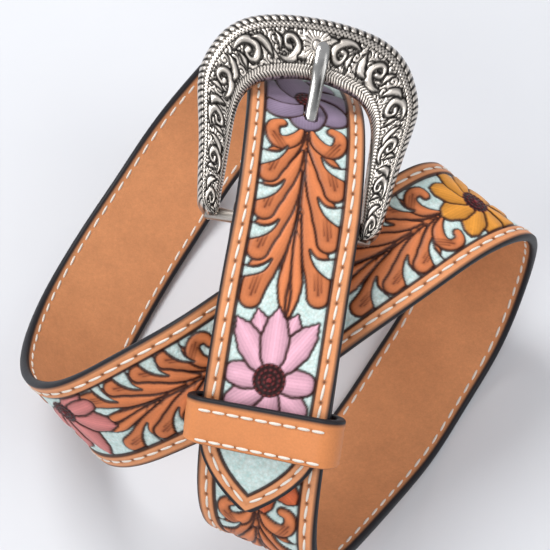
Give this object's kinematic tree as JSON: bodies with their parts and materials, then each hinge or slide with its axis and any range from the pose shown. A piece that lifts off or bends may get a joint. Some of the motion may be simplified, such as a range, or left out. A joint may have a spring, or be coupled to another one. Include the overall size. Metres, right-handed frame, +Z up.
{
  "type": "western tooled belt",
  "caption": "Coiled, buckled leather belt in two turns, with floral tooling, painted flowers, V tip, leather keeper and an engraved horseshoe buckle.",
  "frame": {"origin": "on the surface the belt rests on, under the middle of the coil's box", "axes": "+Z up, +Y towards the arch of the buckle, +X to the right as the buckle faces the viewer"},
  "size_m": [0.1732, 0.1888, 0.1136],
  "materials": {
    "strap": "tooled and painted tan leather, black edges",
    "buckle_frame": "antiqued silver with engraved relief",
    "prong": "polished nickel",
    "keeper": "smooth tan leather, black edges"
  },
  "bodies": {
    "root": {"strap": "strap", "buckle_frame": "buckle_frame", "prong": "prong", "keeper": "keeper"}
  },
  "joints": []
}
